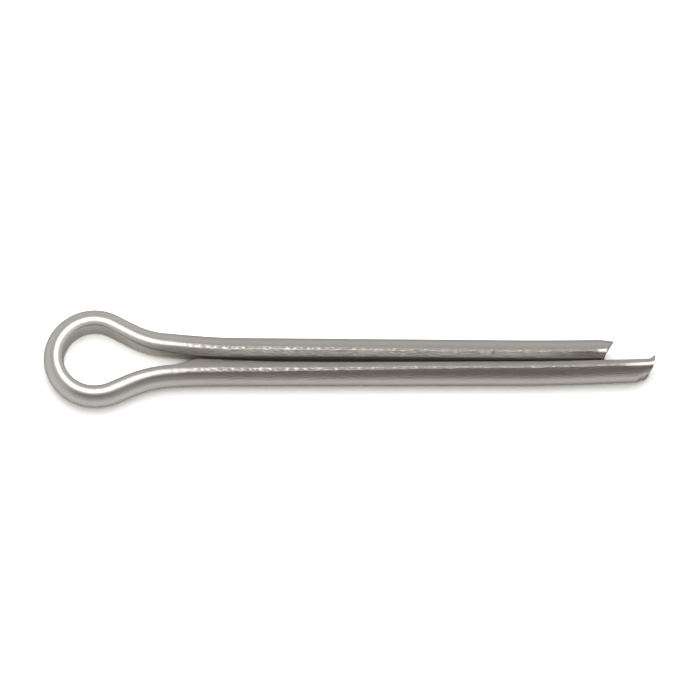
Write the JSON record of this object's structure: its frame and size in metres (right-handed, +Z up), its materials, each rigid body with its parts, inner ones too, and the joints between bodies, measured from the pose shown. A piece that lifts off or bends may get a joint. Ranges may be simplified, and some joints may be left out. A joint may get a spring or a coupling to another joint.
{
  "type": "cotter pin",
  "caption": "Split cotter pin bent from half-round steel wire, with a round eye and two straight legs of unequal length, for locking a castle nut or clevis pin.",
  "frame": {"origin": "on the shank's axis, in the plane where the shoulders stop in the mouth of the hole", "axes": "+X along the shank from the eye to the ends of the legs, +Y towards the short leg, +Z up out of the eye's plane"},
  "size_m": [0.0575, 0.0096, 0.0044],
  "materials": {
    "steel_wire": "bright drawn wire, dulled and pitted along the legs, shinier round the eye"
  },
  "bodies": {
    "root": {"cotter_pin": "steel_wire"}
  },
  "joints": []
}
